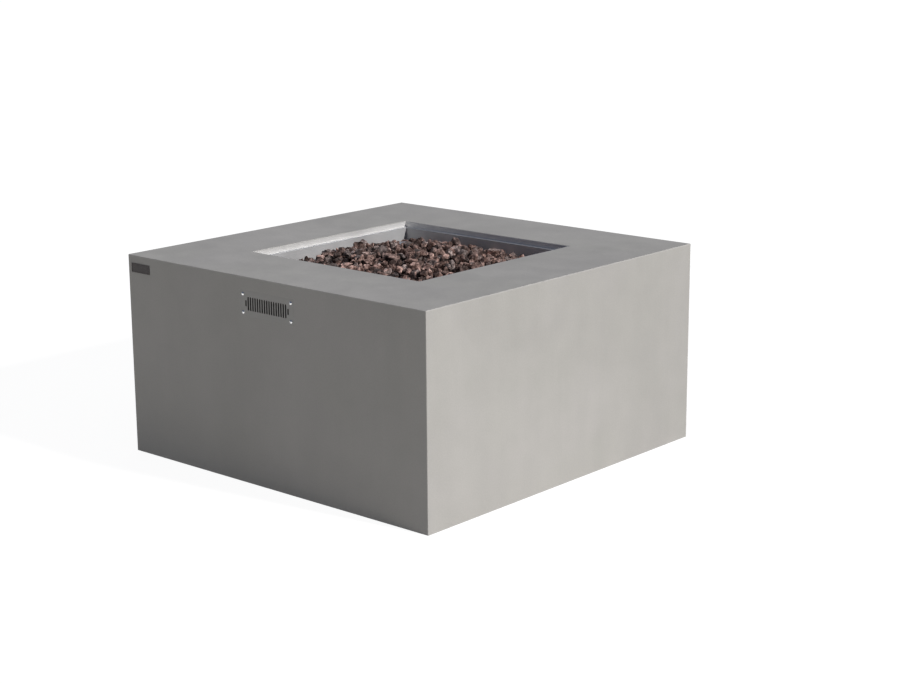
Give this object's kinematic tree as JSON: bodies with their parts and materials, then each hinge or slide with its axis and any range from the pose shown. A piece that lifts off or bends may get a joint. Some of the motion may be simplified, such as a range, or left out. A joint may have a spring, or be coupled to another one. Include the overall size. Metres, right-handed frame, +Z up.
{
  "type": "square gas fire pit table",
  "caption": "Low square concrete fire pit table with a dropped-in steel burner pan full of lava rock, slotted vent grilles, a control knob and levelling feet.",
  "frame": {"origin": "middle of the square footprint, on the ground plane the rim and the feet stand on", "axes": "+Z up; -Y is the front face with the nameplate and a vent grille, +Y the back with the gas inlet, -X the side with the control panel"},
  "size_m": [1.1292, 1.1306, 0.56],
  "materials": {
    "concrete": "smooth cast glass-fibre concrete, sealed",
    "plate_dark": "dark bronze plate",
    "vent_steel": "grey powder-coated sheet",
    "screw_steel": "bright stainless",
    "pan_steel": "satin stainless sheet",
    "trim_steel": "bright satin stainless sheet",
    "burner_steel": "heat-tinted stainless tube",
    "gasket": "black graphite strip",
    "brass": "plain turned brass",
    "ceramic": "white ceramic",
    "probe_steel": "bare alloy",
    "panel_steel": "satin stainless sheet",
    "valve_alloy": "cast alloy",
    "knob_black": "matt black",
    "mark_white": "white inlay",
    "button_black": "gloss black",
    "battery": "wrapped cell",
    "hose_black": "black gas hose",
    "lead_white": "silicone sleeve",
    "lead_copper": "copper tube",
    "zinc": "zinc-plated",
    "foot_black": "black",
    "shield": "mill finish",
    "lava_deep": "buried lava rock",
    "lava": "porous red-brown lava rock"
  },
  "bodies": {
    "table": {"concrete_shell": "concrete", "nameplate": "plate_dark", "front_vent_grille": "vent_steel", "rear_vent_grille": "vent_steel", "front_vent_screws": "screw_steel", "rear_vent_screws": "screw_steel", "burner_pan": "pan_steel", "pan_trim": "trim_steel", "pan_gasket": "gasket", "burner": "burner_steel", "burner_locknut": "zinc", "air_mixer": "brass", "gas_jet": "brass", "ignition_guard": "pan_steel", "guard_screws": "screw_steel", "electrode_grommet": "ceramic", "thermocouple_grommet": "ceramic", "spark_electrode": "ceramic", "electrode_rod": "probe_steel", "thermocouple": "probe_steel", "control_panel": "panel_steel", "panel_screws": "screw_steel", "control_valve": "valve_alloy", "valve_nut": "zinc", "igniter_body": "button_black", "igniter_nut": "zinc", "igniter_battery": "battery", "inlet_rose": "screw_steel", "inlet_fitting": "brass", "inlet_locknut": "brass", "hose_nuts": "brass", "burner_hose": "hose_black", "inlet_hose": "hose_black", "ignition_lead": "lead_white", "thermocouple_lead": "lead_copper", "foot_brackets": "zinc", "foot_nuts": "zinc", "bracket_screws": "screw_steel", "heat_shield": "shield", "shield_screws": "screw_steel", "rock_bed": "lava_deep", "lava_rocks": "lava"},
    "knob_plunger": {"knob_sleeve": "zinc"},
    "knob": {"control_knob": "knob_black", "valve_stem": "brass", "knob_pointer": "mark_white", "knob_cap": "screw_steel"},
    "battery_cap": {"igniter_cap": "knob_black"},
    "spark_button": {"igniter_button": "button_black"},
    "foot_1": {"levelling_foot_1": "foot_black"},
    "foot_2": {"levelling_foot_2": "foot_black"},
    "foot_3": {"levelling_foot_3": "foot_black"},
    "foot_4": {"levelling_foot_4": "foot_black"}
  },
  "joints": [
    {"name": "knob_push", "type": "slide", "parent": "table", "child": "knob_plunger", "axis": [1, 0, 0], "range_m": [0, 0.0035], "stiffness_N_per_m": 600},
    {"name": "knob_turn", "type": "hinge", "parent": "knob_plunger", "child": "knob", "pos_m": [-0.56, 0, 0.44], "axis": [-1, 0, 0], "range_deg": [0, 180]},
    {"name": "battery_cap_off", "type": "slide", "parent": "table", "child": "battery_cap", "axis": [-1, 0, 0], "range_m": [0, 0.03]},
    {"name": "spark_press", "type": "slide", "parent": "battery_cap", "child": "spark_button", "axis": [1, 0, 0], "range_m": [0, 0.0025], "stiffness_N_per_m": 500},
    {"name": "foot_screw_1", "type": "slide", "parent": "table", "child": "foot_1", "axis": [0, 0, -1], "range_m": [0, 0.012]},
    {"name": "foot_screw_2", "type": "slide", "parent": "table", "child": "foot_2", "axis": [0, 0, -1], "range_m": [0, 0.012]},
    {"name": "foot_screw_3", "type": "slide", "parent": "table", "child": "foot_3", "axis": [0, 0, -1], "range_m": [0, 0.012]},
    {"name": "foot_screw_4", "type": "slide", "parent": "table", "child": "foot_4", "axis": [0, 0, -1], "range_m": [0, 0.012]}
  ]
}
